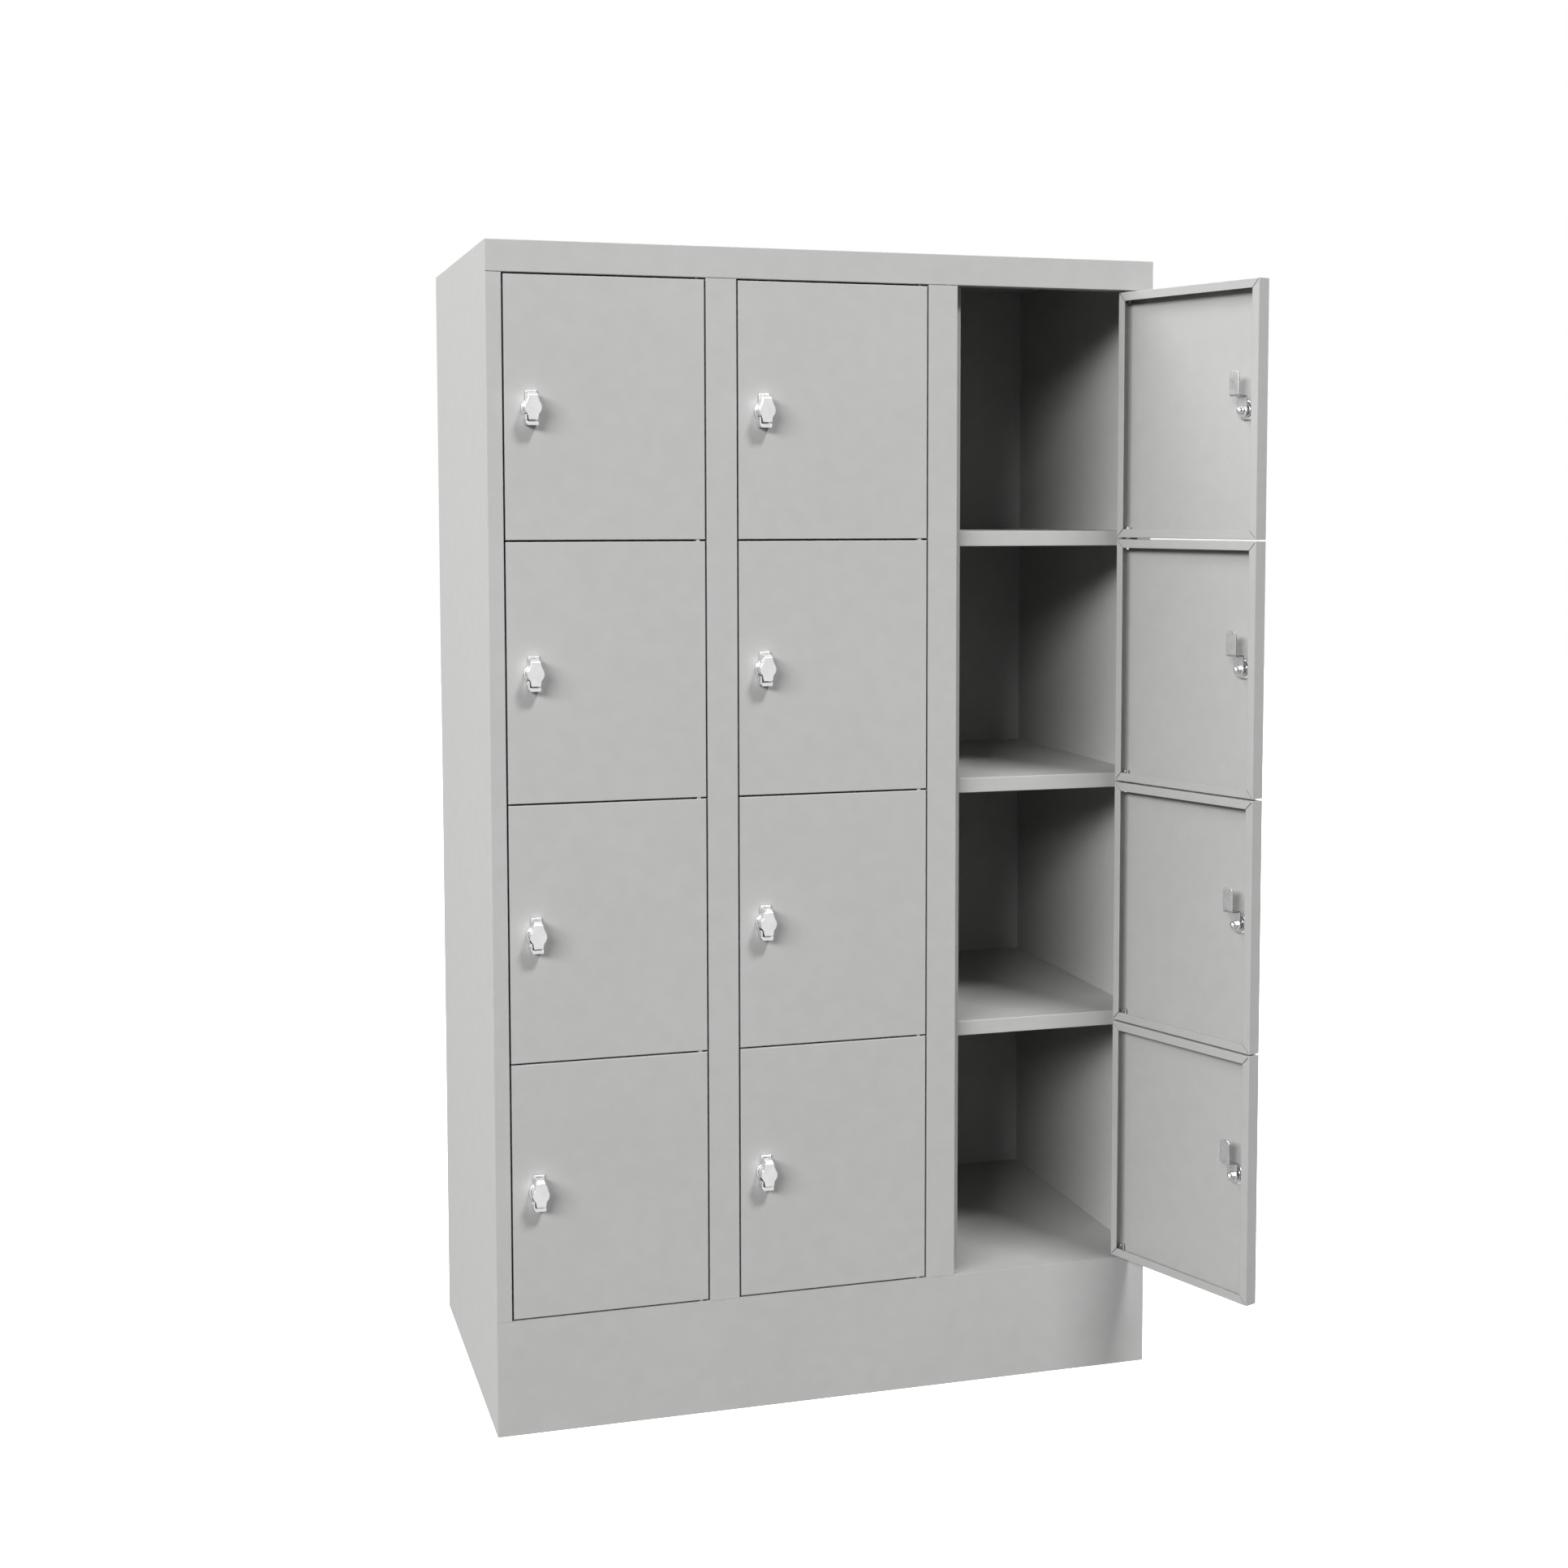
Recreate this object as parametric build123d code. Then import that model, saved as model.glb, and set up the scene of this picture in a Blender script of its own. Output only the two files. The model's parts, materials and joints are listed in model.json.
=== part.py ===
from build123d import *
import math
import os

# Parcel locker: a folded sheet-steel cabinet with columns of small flush doors.
# Millimetres. X runs to the right as seen from the front, Y runs to the back, Z is up.
# The origin is on the floor, at the centre of the footprint. Row 1 is the top row.

# ---- cabinet ----
width = 900.0
height = 1520.0
depth = 500.0
sheet = 1.2
columns = 3
rows = 4
plinth_height = 150.0
header_height = 40.0
stile_width = 20.0
mullion_width = 40.0
seam = 0.4

# ---- frame profile around each column of doors ----
door_to_stop = 3.5
stop_reach = 12.0
header_return = 20.0
header_upstand = 15.0

# ---- shelves, back and base ----
shelf_face = 20.0
shelf_return = 10.0
back_recess = 18.0
back_flange = 14.0
rear_return = 15.0
base_flange = 62.0
floor_bolt_radius = 5.5
floor_bolt_x = 390.0
floor_bolt_y = 205.0
wall_bolt_radius = 4.5
wall_bolt_x = 100.0
wall_bolt_low = 250.0
wall_bolt_high = 1400.0

# ---- doors ----
door_gap = 2.3
door_thickness = 18.5
door_sheet = 1.2
door_lip = 11.5
door_edge_radius = 0.8
mitre_gap = 0.9
open_angle = 109.4
open_column = 3

# ---- pivots ----
pivot_inset = 8.7
pin_radius = 4.0
pin_reach = 14.0
running_clearance = 0.06
bracket_width = 10.0
pin_head_radius = 4.8
pin_head_gap = 0.2
pin_head_height = 2.0

# ---- latch, outside ----
latch_inset = 33.1
base_thickness = 3.0
base_waist_radius = 12.5
base_length = 44.0
lug_thickness = 2.0
lug_reach = 16.0
lug_top = 8.6
lug_foot = 4.9
padlock_radius = 2.5
padlock_drop = 12.0
handle_clearance = 0.5
handle_reach = 21.0
handle_bulge_radius = 10.6
handle_top = 19.0
handle_bottom = 15.2
handle_top_width = 9.6
handle_neck_width = 13.2
handle_bottom_width = 12.4
handle_neck_drop = 9.4
handle_top_slope = 3.5
upper_shoulder_angle = 40.0
lower_shoulder_angle = 50.0

# ---- latch, inside ----
barrel_radius = 9.0
barrel_end = 1.5
clamp_nut_flats = 24.0
clamp_nut_height = 4.0
spindle_radius = 4.0
stud_radius = 2.9
cam_thickness = 2.0
cam_depth = 10.6
cam_hub_radius = 9.0
cam_step = 19.0
cam_reach = 49.8
tongue_width = 16.5
tongue_clearance = 1.8
tip_chamfer = 4.0
cap_nut_flats = 9.0
cap_nut_height = 3.2
cap_nut_dome = 4.2

# ---- worked out from the sizes above ----
left = -width / 2
right = width / 2
front = -depth / 2
back = depth / 2
opening_width = (width - 2 * stile_width - (columns - 1) * mullion_width) / columns
opening_top = height - header_height
row_pitch = (opening_top - plinth_height - door_gap) / rows
door_width = opening_width - 2 * door_gap
door_height = row_pitch - door_gap
column_pitch = opening_width + mullion_width
stop_depth = door_thickness + door_to_stop
stop_face = front + stop_depth
stop_back = stop_face + sheet
back_face = back - back_recess
pivot_depth = sheet + pin_head_gap + pin_head_radius
pivot_y = front + pivot_depth
tongue_depth = stop_depth + sheet + tongue_clearance
floor_top = plinth_height
shelf_front = stop_back
fold_radius = 0.8 * sheet
lug_inner = handle_neck_width / 2 + handle_clearance
lug_outer = lug_inner + lug_thickness
padlock_y = -(base_thickness + lug_reach) / 2
past = 1.0  # how far a cut runs past the face that it leaves


def block(x_low, x_high, y_low, y_high, z_low, z_high):
    """A box between two corners."""
    solid = Box(x_high - x_low, y_high - y_low, z_high - z_low)
    middle = ((x_low + x_high) / 2, (y_low + y_high) / 2, (z_low + z_high) / 2)
    return Pos(*middle) * solid


def rod_z(radius, x, y, z_low, z_high):
    """An upright cylinder."""
    return Pos(x, y, (z_low + z_high) / 2) * Cylinder(radius, z_high - z_low)


def rod_y(radius, x, z, y_low, y_high):
    """A cylinder that lies front to back."""
    return Pos(x, (y_low + y_high) / 2, z) * Rot(90, 0, 0) * Cylinder(radius, y_high - y_low)


def rod_x(radius, y, z, x_low, x_high):
    """A cylinder that lies from side to side."""
    return Pos((x_low + x_high) / 2, y, z) * Rot(0, 90, 0) * Cylinder(radius, x_high - x_low)


def folds(solid, direction, *places):
    """The edges along a direction that pass through one of the places, given as (x, y, z) with None for any."""
    def at_a_place(edge):
        middle = edge.center()
        here = (middle.X, middle.Y, middle.Z)
        return any(all(b is None or abs(a - b) < seam / 4 for a, b in zip(here, place)) for place in places)
    return solid.edges().filter_by(direction).filter_by(at_a_place)


def opening_left(column):
    """The left edge of a column's door opening."""
    return left + stile_width + (column - 1) * column_pitch


def opening_right(column):
    return opening_left(column) + opening_width


def gap_height(index):
    """The middle of the gap above row index + 1; the last one is the gap over the plinth."""
    return opening_top - door_gap / 2 - index * row_pitch


def door_middle(row):
    return (gap_height(row - 1) + gap_height(row)) / 2


def pivot_x(column):
    return opening_right(column) - door_gap - pivot_inset


def latch_x(column):
    return opening_left(column) + door_gap + latch_inset


def mirrored(solid):
    return mirror(solid, about=Plane.YZ)


def save(solids, name):
    """Writes one sub-part, of one solid or of several separate ones."""
    group = list(solids)
    shape = group[0] if len(group) == 1 else Compound(children=group)
    shape.label = name
    export_step(shape, "parts/" + name + ".step")


# ---------------------------------------------------------------- cabinet

def side_panel():
    """The left side: one sheet folded into the stile, its return, the door stop and a rear return."""
    stile_right = left + stile_width
    wall = block(left, left + sheet, front, back, 0, height - sheet)
    face = block(left, stile_right, front, front + sheet, plinth_height, opening_top - seam)
    web = block(stile_right - sheet, stile_right, front, stop_back, plinth_height, opening_top)
    stop = block(stile_right - sheet, stile_right + stop_reach, stop_face, stop_back,
                 plinth_height, opening_top)
    rear = block(left, left + sheet + rear_return, back - sheet, back, sheet, height - sheet)
    wall -= block(left, left + sheet, front, front + sheet, 0, floor_top)
    wall -= block(left, left + sheet, front, front + sheet, opening_top - seam, height)
    panel = wall + face + web + stop + rear
    return fillet(folds(panel, Axis.Z, (left, front, None), (stile_right, front, None)), fold_radius)


def mullion(x):
    """A hat section between two columns, open to the back, with a door stop on each side."""
    half = mullion_width / 2
    body = block(x - half, x + half, front, front + sheet, plinth_height, opening_top - seam)
    for side in (-1, 1):
        inner, outer = sorted((x + side * (half - sheet), x + side * half))
        body += block(inner, outer, front, stop_back, plinth_height, opening_top)
        inner, outer = sorted((x + side * (half - sheet), x + side * (half + stop_reach)))
        body += block(inner, outer, stop_face, stop_back, plinth_height, opening_top)
    return fillet(folds(body, Axis.Z, (x - half, front, None), (x + half, front, None)), fold_radius)


def top_panel():
    """The roof and the header in one folded sheet, with the header's return and upstand."""
    roof = block(left, right, front, back, height - sheet, height)
    header = block(left, right, front, front + sheet, opening_top, height)
    shelf = block(left + sheet, right - sheet, front, front + header_return,
                  opening_top, opening_top + sheet)
    lip_y = front + header_return
    upstand = block(left + sheet, right - sheet, lip_y - sheet, lip_y,
                    opening_top, opening_top + header_upstand)
    panel = roof + header + shelf + upstand
    edges = folds(panel, Axis.X, (None, front, height), (None, front, opening_top))
    edges += folds(panel, Axis.Y, (left, None, height), (right, None, height))
    edges += folds(panel, Axis.Z, (left, front, None), (right, front, None))
    panel = fillet(edges, fold_radius)
    for column in range(1, columns + 1):
        panel -= rod_z(pin_radius, pivot_x(column), pivot_y, opening_top - past, opening_top + sheet + past)
    return panel


def back_panel():
    """A tray whose side flanges fold backwards, with a foot flange for the floor bolts."""
    inner_left = left + sheet
    inner_right = right - sheet
    panel = block(inner_left, inner_right, back_face, back_face + sheet, 0, height - sheet)
    flange_end = back_face + back_flange
    panel += block(inner_left, inner_left + sheet, back_face, flange_end, 0, height - sheet)
    panel += block(inner_right - sheet, inner_right, back_face, flange_end, 0, height - sheet)
    panel += block(inner_left, inner_right, back_face, flange_end, height - 2 * sheet, height - sheet)
    panel += block(inner_left, inner_right, back_face + sheet - base_flange, back_face + sheet, 0, sheet)
    for x in (-wall_bolt_x, wall_bolt_x):
        for z in (wall_bolt_low, wall_bolt_high):
            panel -= rod_y(wall_bolt_radius, x, z, back_face - past, back_face + sheet + past)
    return drilled_for_floor_bolts(panel, floor_bolt_y)


def drilled_for_floor_bolts(panel, y):
    for x in (-floor_bolt_x, floor_bolt_x):
        panel -= rod_z(floor_bolt_radius, x, y, -past, sheet + past)
    return panel


def plinth_front():
    """The kick plate, flush with the frame, with its foot flange."""
    panel = block(left, right, front, front + sheet, 0, floor_top - sheet)
    panel += block(left + sheet, right - sheet, front, front + base_flange, 0, sheet)
    panel = fillet(folds(panel, Axis.Z, (left, front, None), (right, front, None)), fold_radius)
    return drilled_for_floor_bolts(panel, -floor_bolt_y)


def floor_panel():
    """The bottom of the lowest compartments. It carries the lowest pivot pins."""
    panel = block(left, right, front, front + sheet, floor_top - sheet, floor_top)
    panel += block(left + sheet, right - sheet, front, back_face, floor_top - sheet, floor_top)
    panel = fillet(folds(panel, Axis.Z, (left, front, None), (right, front, None)), fold_radius)
    for column in range(1, columns + 1):
        panel -= rod_z(pin_radius, pivot_x(column), pivot_y, floor_top - sheet - past, floor_top + past)
    return panel


def partition(x):
    """The upright sheet between two columns, from the mullion's face to the back."""
    y_front = front + sheet
    sheet_wall = block(x - sheet / 2, x + sheet / 2, y_front, back_face, floor_top, height - sheet)
    notch_end = front + header_return
    return sheet_wall - block(x - sheet, x + sheet, y_front, notch_end,
                              opening_top, opening_top + header_upstand)


def compartment_sides(column):
    """The inner faces of a compartment's two side walls."""
    wall_left = left + sheet if column == 1 else opening_left(column) - (mullion_width - sheet) / 2
    wall_right = right - sheet if column == columns else opening_right(column) + (mullion_width - sheet) / 2
    return wall_left, wall_right


def shelf(column, index):
    """A shelf centred on a gap between doors, with a front face and a lower return."""
    x_left, x_right = compartment_sides(column)
    top = gap_height(index) + shelf_face / 2
    low = top - shelf_face
    body = block(x_left, x_right, shelf_front, back_face, top - sheet, top)
    body += block(x_left, x_right, shelf_front, shelf_front + sheet, low, top)
    body += block(x_left, x_right, shelf_front, shelf_front + shelf_return, low, low + sheet)
    return fillet(folds(body, Axis.X, (None, shelf_front, top), (None, shelf_front, low)), fold_radius)


def pivot_bracket(column, index):
    """A tab that reaches forward from the door stop, in the gap, and is welded to the pin."""
    x = pivot_x(column)
    z = gap_height(index)
    tab = block(x - bracket_width / 2, x + bracket_width / 2, pivot_y, stop_face,
                z - sheet / 2, z + sheet / 2)
    return tab - rod_z(pin_radius, x, pivot_y, z - sheet / 2 - past, z + sheet / 2 + past)


def middle_pin(column, index):
    """A pin shared by the door above and the door below."""
    z = gap_height(index)
    half = door_gap / 2 + pin_reach
    return rod_z(pin_radius, pivot_x(column), pivot_y, z - half, z + half)


def bottom_pin(column):
    """The lowest pin, pushed up through the floor panel, with its head underneath."""
    x = pivot_x(column)
    z_top = gap_height(rows) + door_gap / 2 + pin_reach
    head_top = floor_top - sheet
    shank = rod_z(pin_radius, x, pivot_y, head_top, z_top)
    head = rod_z(pin_head_radius, x, pivot_y, head_top - pin_head_height, head_top)
    return shank + head


def top_pin(column):
    """The pin that drops through the header's return, with its head on top."""
    x = pivot_x(column)
    z_low = gap_height(0) - door_gap / 2 - pin_reach
    seat = opening_top + sheet
    shank = rod_z(pin_radius, x, pivot_y, z_low, seat)
    return shank + rod_z(pin_head_radius, x, pivot_y, seat, seat + pin_head_height)


# ---------------------------------------------------------------- doors

def door_leaf(column, row):
    """A folded pan: front skin, four walls and four narrow lips with mitred corners."""
    x_left = opening_left(column) + door_gap
    x_right = x_left + door_width
    z_middle = door_middle(row)
    z_low = z_middle - door_height / 2
    z_high = z_middle + door_height / 2
    y_back = front + door_thickness
    leaf = block(x_left, x_right, front, y_back, z_low, z_high)
    sides = leaf.faces().sort_by(Axis.Y)
    leaf = fillet(sides[0].edges() + sides[-1].edges(), door_edge_radius)
    leaf -= block(x_left + door_sheet, x_right - door_sheet, front + door_sheet,
                  y_back - door_sheet, z_low + door_sheet, z_high - door_sheet)
    leaf -= block(x_left + door_lip, x_right - door_lip, y_back - 2 * door_sheet,
                  y_back + past, z_low + door_lip, z_high - door_lip)
    mitre_start = door_sheet + door_sheet / 2
    slot = (door_lip + past - mitre_start) * math.sqrt(2)
    reach = (door_lip + past + mitre_start) / 2
    for x, side in ((x_left, 1), (x_right, -1)):
        for z, way in ((z_low, 1), (z_high, -1)):
            cut = Box(slot, 3 * door_sheet, mitre_gap)
            corner = Pos(x + side * reach, y_back, z + way * reach)
            leaf -= corner * Rot(0, -45 * side * way, 0) * cut
    bore = pin_radius + running_clearance
    leaf -= rod_z(bore, pivot_x(column), pivot_y, z_low - past, z_low + door_sheet + past)
    leaf -= rod_z(bore, pivot_x(column), pivot_y, z_high - door_sheet - past, z_high + past)
    leaf -= rod_y(barrel_radius, latch_x(column), z_middle, front - past, front + door_sheet + past)
    return leaf


# ---------------------------------------------------------------- latches
# Latch pieces are drawn about their own axis: Y = 0 on the door's outer face, Y to the inside.

def latch_outline(points, thickness, y_front):
    """A flat piece from an outline in X and Z, its front face at y_front."""
    outline = Plane.XZ * make_face(Polyline(*points, close=True))
    return Pos(0, y_front + thickness, 0) * extrude(outline, thickness)


def latch_base():
    """The fixed base: a plate, a foot under the grip, a side lug with the padlock eye, and the barrel."""
    half = base_length / 2
    plate = rod_y(base_waist_radius, 0, 0, -base_thickness, 0)
    plate += block(-lug_inner, lug_inner, -base_thickness, 0, -half, half)
    plate += block(-lug_inner, lug_inner, -lug_reach, 0, -half, -half + lug_foot)
    side = [(-lug_inner, -half), (-lug_outer, -half + lug_foot), (-lug_outer, -lug_top), (-lug_inner, -lug_top)]
    plate += latch_outline(side, lug_reach, -lug_reach)
    plate += rod_y(barrel_radius, 0, 0, -base_thickness / 2, door_sheet + clamp_nut_height + barrel_end)
    plate -= rod_y(spindle_radius + running_clearance, 0, 0, -base_thickness - past, cam_depth)
    return plate - rod_x(padlock_radius, padlock_y, -padlock_drop, -lug_outer - past, -lug_inner + past)


def clamp_nut():
    """The hexagon nut that clamps the base to the door's skin."""
    hexagon = RegularPolygon(clamp_nut_flats / 2, 6, major_radius=False)
    nut = Rot(90, 0, 0) * extrude(hexagon, clamp_nut_height / 2, both=True)
    nut = Pos(0, door_sheet + clamp_nut_height / 2, 0) * nut
    return nut - rod_y(barrel_radius, 0, 0, 0, door_sheet + clamp_nut_height + past)


def on_bulge(angle):
    """A point on the grip's round waist, at an angle above the horizontal."""
    turn = math.radians(angle)
    return handle_bulge_radius * math.cos(turn), handle_bulge_radius * math.sin(turn)


def latch_handle():
    """The turning grip, round at its waist and narrower to its two ends, and its spindle."""
    y_front = -handle_reach
    y_back = -base_thickness - handle_clearance
    upper = on_bulge(upper_shoulder_angle)
    lower = on_bulge(-lower_shoulder_angle)
    right_side = [(handle_top_width / 2, handle_top), upper, lower, (handle_neck_width / 2, -handle_neck_drop),
                  (handle_bottom_width / 2, -handle_bottom)]
    left_side = [(-x, z) for x, z in reversed(right_side)]
    grip = latch_outline(right_side + left_side, y_back - y_front, y_front)
    grip += rod_y(handle_bulge_radius, 0, 0, y_front, y_back)
    top_edge = grip.edges().filter_by(Axis.X).group_by(Axis.Z)[-1].sort_by(Axis.Y)[0]
    grip = chamfer(top_edge, handle_top_slope)
    grip -= rod_x(padlock_radius, padlock_y, -padlock_drop, -lug_inner, lug_inner)
    spindle = rod_y(spindle_radius, 0, 0, y_back - past, cam_depth + cam_thickness)
    stud = rod_y(stud_radius, 0, 0, cam_depth, cam_depth + cam_thickness + cap_nut_height)
    return grip + spindle + stud


def latch_cam():
    """The cranked cam: a hub on the spindle, a step, and a tongue that passes the stops."""
    half = tongue_width / 2
    arm_back = cam_depth + cam_thickness
    tongue_back = tongue_depth + cam_thickness
    step_start = cam_step - cam_thickness
    hub = rod_y(cam_hub_radius, 0, 0, cam_depth, arm_back)
    arm = block(-half, half, cam_depth, arm_back, 0, cam_step)
    riser = block(-half, half, cam_depth, tongue_back, step_start, cam_step)
    tongue = block(-half, half, tongue_depth, tongue_back, step_start, cam_reach)
    tips = tongue.edges().filter_by(Axis.Y).group_by(Axis.Z)[-1]
    cam = hub + arm + riser + chamfer(tips, tip_chamfer)
    return cam - rod_y(spindle_radius, 0, 0, cam_depth - past, arm_back + past)


def cap_nut():
    """The domed nut on the spindle's stud."""
    seat = cam_depth + cam_thickness
    hexagon = RegularPolygon(cap_nut_flats / 2, 6, major_radius=False)
    nut = Rot(90, 0, 0) * extrude(hexagon, cap_nut_height / 2, both=True)
    nut = Pos(0, seat + cap_nut_height / 2, 0) * nut
    dome = Pos(0, seat + cap_nut_height, 0) * Sphere(cap_nut_dome)
    dome &= block(-cap_nut_dome, cap_nut_dome, seat + cap_nut_height, seat + cap_nut_height + cap_nut_dome,
                  -cap_nut_dome, cap_nut_dome)
    return nut + dome - rod_y(stud_radius, 0, 0, seat - past, seat + cap_nut_height)


def hung(solid, column):
    """A piece of a door in its stored place: turned out about its pivot in the open column."""
    if column != open_column:
        return solid
    pivot = (pivot_x(column), pivot_y, 0)
    return Pos(*pivot) * Rot(0, 0, open_angle) * Pos(-pivot[0], -pivot[1], 0) * solid


# ---------------------------------------------------------------- write the model

os.makedirs("parts", exist_ok=True)

all_columns = range(1, columns + 1)
all_rows = range(1, rows + 1)
between_columns = [opening_right(column) + mullion_width / 2 for column in range(1, columns)]

left_side = side_panel()
save([left_side], "left_side_panel")
save([mirrored(left_side)], "right_side_panel")
save([top_panel()], "top_panel")
save([back_panel()], "back_panel")
save([plinth_front()], "plinth_front")
save([floor_panel()], "floor_panel")
save([mullion(x) for x in between_columns], "mullions")
save([partition(x) for x in between_columns], "partitions")
save([shelf(c, i) for c in all_columns for i in range(1, rows)], "shelves")
save([pivot_bracket(c, i) for c in all_columns for i in range(1, rows)], "pivot_brackets")
middle_pins = [middle_pin(c, i) for c in all_columns for i in range(1, rows)]
save(middle_pins + [bottom_pin(c) for c in all_columns], "pivot_pins")
save([top_pin(c) for c in all_columns], "top_pivot_pins")

base_solids = [latch_base(), clamp_nut()]
handle_solids = [latch_handle()]
cam_solids = [latch_cam(), cap_nut()]
for column in all_columns:
    for row in all_rows:
        place = "_c" + str(column) + "r" + str(row)
        spot = Pos(latch_x(column), front, door_middle(row))
        save([hung(door_leaf(column, row), column)], "door" + place)
        save([hung(spot * solid, column) for solid in base_solids], "latch_base" + place)
        save([hung(spot * solid, column) for solid in handle_solids], "latch_handle" + place)
        save([hung(spot * solid, column) for solid in cam_solids], "latch_cam" + place)
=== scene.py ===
import json
import math

import bpy
import numpy as np
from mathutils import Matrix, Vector

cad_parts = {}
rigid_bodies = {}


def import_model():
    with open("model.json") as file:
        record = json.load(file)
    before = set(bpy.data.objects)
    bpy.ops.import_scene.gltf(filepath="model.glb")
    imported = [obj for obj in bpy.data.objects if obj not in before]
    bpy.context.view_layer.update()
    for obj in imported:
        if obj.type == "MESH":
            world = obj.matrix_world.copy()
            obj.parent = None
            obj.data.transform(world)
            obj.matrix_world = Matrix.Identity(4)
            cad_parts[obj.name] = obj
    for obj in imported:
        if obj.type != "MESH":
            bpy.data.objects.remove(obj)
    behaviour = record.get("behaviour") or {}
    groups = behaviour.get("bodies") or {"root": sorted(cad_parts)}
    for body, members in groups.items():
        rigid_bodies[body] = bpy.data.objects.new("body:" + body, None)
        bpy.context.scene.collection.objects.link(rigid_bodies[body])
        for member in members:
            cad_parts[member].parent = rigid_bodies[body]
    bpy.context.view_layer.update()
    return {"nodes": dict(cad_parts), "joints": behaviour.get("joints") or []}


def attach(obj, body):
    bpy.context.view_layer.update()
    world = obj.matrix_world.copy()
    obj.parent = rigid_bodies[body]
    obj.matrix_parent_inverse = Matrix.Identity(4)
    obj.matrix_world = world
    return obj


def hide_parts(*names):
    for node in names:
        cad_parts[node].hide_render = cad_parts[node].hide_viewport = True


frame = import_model()
nodes = frame["nodes"]
MM = 0.001
QUARTER_TURN, FULL_TURN = math.pi / 2, 2.0 * math.pi

# ------------------------------------------------------------------ camera

CAMERA_PLACE = (-0.8445, -3.0529, 1.1910)
CAMERA_TURN = (85.827, 0.0, -17.061)
LENS, SENSOR_WIDTH = 51.51, 36.0
SHIFT_X, SHIFT_Y = -0.0393, -0.0730

camera_data = bpy.data.cameras.new("camera")
camera_data.lens = LENS
camera_data.sensor_width = SENSOR_WIDTH
camera_data.shift_x = SHIFT_X
camera_data.shift_y = SHIFT_Y
camera = bpy.data.objects.new("camera", camera_data)
camera.location = CAMERA_PLACE
camera.rotation_euler = [math.radians(angle) for angle in CAMERA_TURN]
bpy.context.scene.collection.objects.link(camera)
bpy.context.scene.camera = camera
bpy.context.scene.view_settings.view_transform = "Standard"

# ------------------------------------------------------------------ studio

AIM = Vector((0.0, -0.25, 0.8))

# Azimuth and elevation in degrees, then distance, width and height in metres, then power in watts.
SOFTBOXES = {
    "key": (47, 22, 14.0, 9.8, 3.4, 2090),
    "overhead": (-30, 52, 16.0, 2.9, 2.3, 1960),
    "side_fill": (106, 44, 9.0, 4.5, 4.5, 610),
    "back_fill": (205, 30, 8.0, 4.0, 4.0, 410),
    "right_fill": (250, 25, 8.0, 4.0, 4.0, 480),
}

# Colour and strength of the room: as it fills shadows, as it shows in reflections, and as seen.
SHADOW_FILL = ((0.97, 0.985, 1.0), 0.06)
REFLECTED_ROOM = ((1.0, 1.0, 1.0), 0.85)
BACKDROP = ((1.0, 1.0, 1.0), 1.0)


def softbox(name, azimuth, elevation, distance, wide, high, power):
    """A soft rectangular lamp that looks at the middle of the front. Azimuth 0 is straight ahead
    of the front, and 90 is its left side."""
    turn, rise = math.radians(azimuth), math.radians(elevation)
    toward = Vector((-math.sin(turn) * math.cos(rise), -math.cos(turn) * math.cos(rise),
                     math.sin(rise)))
    lamp = bpy.data.lights.new(name, "AREA")
    lamp.shape = "RECTANGLE"
    lamp.size = wide
    lamp.size_y = high
    lamp.energy = power
    holder = bpy.data.objects.new(name, lamp)
    holder.location = AIM + toward * distance
    holder.rotation_mode = "QUATERNION"
    holder.rotation_quaternion = toward.to_track_quat("Z", "Y")
    bpy.context.scene.collection.objects.link(holder)


def studio_world():
    """White behind the object, a bright room in reflections, and a dim room to fill shadows."""
    world = bpy.data.worlds.new("studio")
    world.use_nodes = True
    tree = world.node_tree
    tree.nodes.clear()
    path = tree.nodes.new("ShaderNodeLightPath")
    out = tree.nodes.new("ShaderNodeOutputWorld")
    shades = []
    for colour, strength in (SHADOW_FILL, REFLECTED_ROOM, BACKDROP):
        shade = tree.nodes.new("ShaderNodeBackground")
        shade.inputs["Color"].default_value = (*colour, 1.0)
        shade.inputs["Strength"].default_value = strength
        shades.append(shade.outputs[0])
    result = shades[0]
    for kind, shade in (("Is Glossy Ray", shades[1]), ("Is Camera Ray", shades[2])):
        mix = tree.nodes.new("ShaderNodeMixShader")
        tree.links.new(path.outputs[kind], mix.inputs[0])
        tree.links.new(result, mix.inputs[1])
        tree.links.new(shade, mix.inputs[2])
        result = mix.outputs[0]
    tree.links.new(result, out.inputs["Surface"])
    bpy.context.scene.world = world


for name, settings in SOFTBOXES.items():
    softbox(name, *settings)
studio_world()

# ------------------------------------------------------------------ finishes

FIRST_COLOUR, SECOND_COLOUR, MIXED_COLOUR = 6, 7, 2
BEVEL_SAMPLES, OPENNESS_SAMPLES = 4, 6
FLAT_TO_EDGE = (0.995, 0.80)


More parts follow.
